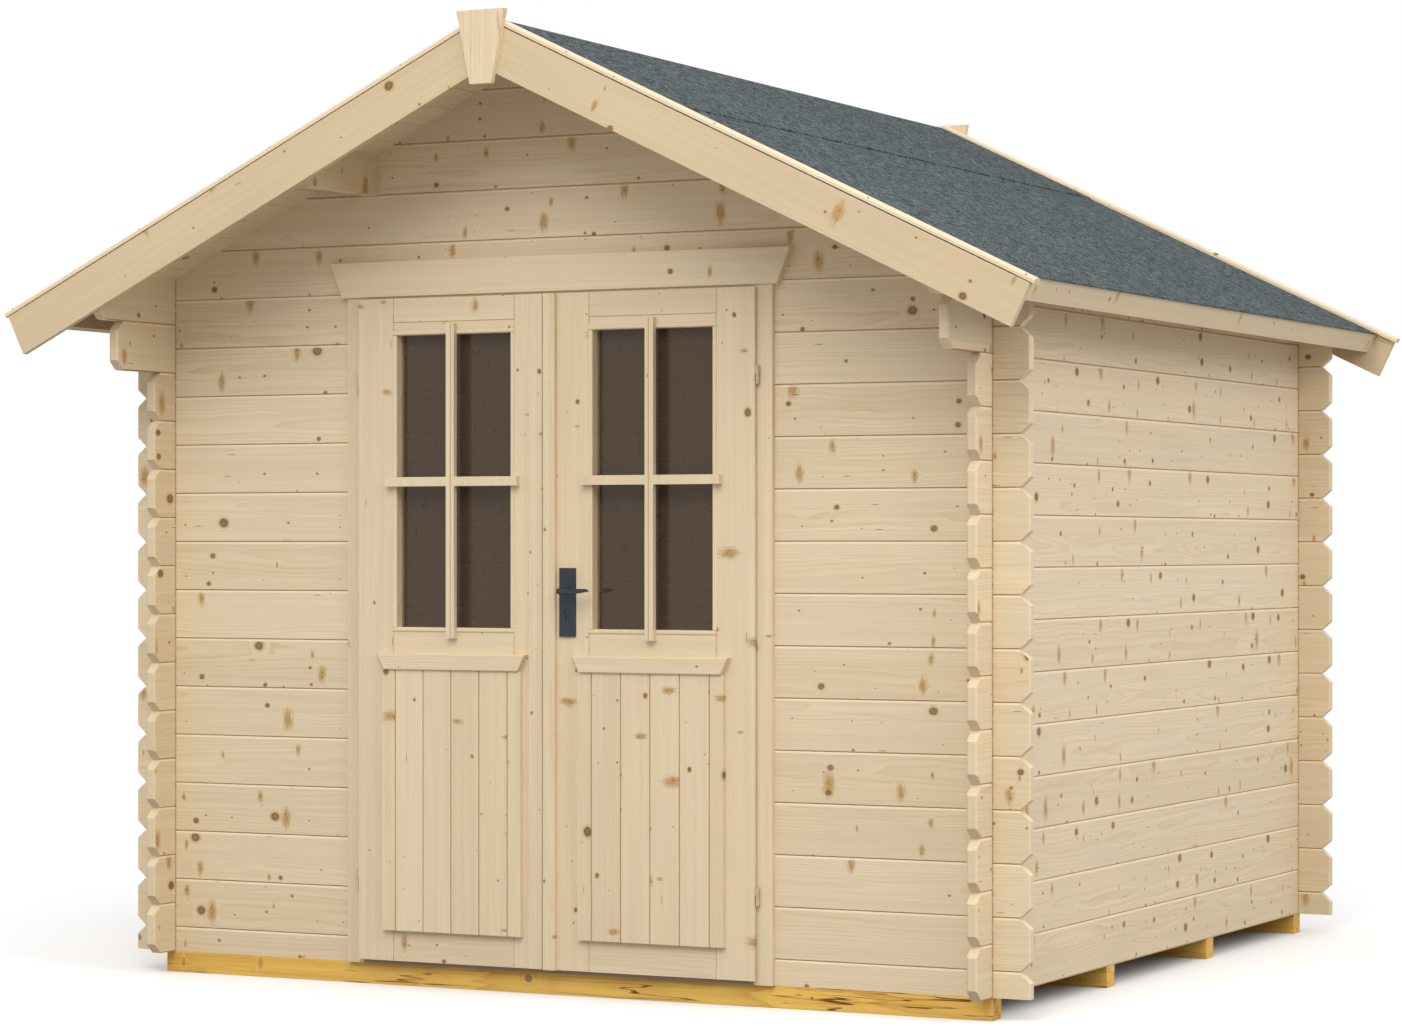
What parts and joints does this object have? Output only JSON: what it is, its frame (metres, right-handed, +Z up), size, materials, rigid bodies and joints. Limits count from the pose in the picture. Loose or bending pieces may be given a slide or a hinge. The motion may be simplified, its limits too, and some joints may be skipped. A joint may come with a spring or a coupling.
{
  "type": "log garden house",
  "caption": "Small log garden house with a felted pitched roof, a front overhang and a glazed double door with a lever handle.",
  "frame": {"origin": "on the ground, in the middle of the house's outline with its roof", "axes": "+Z up, the double door faces -Y, +X to the right seen from the front"},
  "size_m": [3.046, 3.071, 2.572],
  "materials": {
    "spruce": "planed untreated spruce with small brown knots",
    "door_spruce": "planed untreated spruce",
    "impregnated_wood": "pressure impregnated, golden yellow, cracked along the grain",
    "roofing_felt": "bitumen felt with blue-grey mineral granules",
    "glass": "clear single pane",
    "zinc": "zinc plated steel",
    "handle_metal": "anthracite coating"
  },
  "bodies": {
    "root": {"foundation_beams": "impregnated_wood", "floor_boards": "spruce", "front_wall_left": "spruce", "front_wall_right": "spruce", "front_gable": "spruce", "rear_wall": "spruce", "left_wall": "spruce", "right_wall": "spruce", "purlins": "spruce", "roof_boards_left": "spruce", "roof_boards_right": "spruce", "felt_left": "roofing_felt", "felt_right": "roofing_felt", "front_bargeboards": "spruce", "rear_bargeboards": "spruce", "front_battens": "spruce", "rear_battens": "spruce", "front_ridge_board": "spruce", "rear_ridge_board": "spruce", "eaves_boards": "spruce", "door_jambs": "door_spruce", "door_head": "door_spruce", "door_threshold": "door_spruce", "door_casings": "door_spruce", "inner_casings": "door_spruce", "head_board": "door_spruce", "hinge_pins": "zinc"},
    "left_leaf": {"left_leaf_stiles": "door_spruce", "left_leaf_rails": "door_spruce", "left_leaf_panel": "door_spruce", "left_leaf_sill": "door_spruce", "left_leaf_glass": "glass", "left_leaf_beads": "door_spruce", "left_leaf_bars": "door_spruce", "left_leaf_hinges": "zinc"},
    "right_leaf": {"right_leaf_stiles": "door_spruce", "right_leaf_rails": "door_spruce", "right_leaf_panel": "door_spruce", "right_leaf_sill": "door_spruce", "right_leaf_glass": "glass", "right_leaf_beads": "door_spruce", "right_leaf_bars": "door_spruce", "right_leaf_hinges": "zinc", "meeting_strip": "door_spruce", "handle_plates": "handle_metal"},
    "handle": {"door_handle": "handle_metal"}
  },
  "joints": [
    {"name": "left_leaf_swing", "type": "hinge", "parent": "root", "child": "left_leaf", "pos_m": [-0.606, -1.153, 0.963], "axis": [0, 0, -1], "range_deg": [0, 110]},
    {"name": "right_leaf_swing", "type": "hinge", "parent": "root", "child": "right_leaf", "pos_m": [0.606, -1.153, 0.963], "axis": [0, 0, 1], "range_deg": [0, 110]},
    {"name": "handle_turn", "type": "hinge", "parent": "right_leaf", "child": "handle", "pos_m": [0.051, -1.153, 1.075], "axis": [0, 1, 0], "range_deg": [0, 40], "stiffness_Nm_per_rad": 1.5, "springref_deg": -11.46}
  ]
}
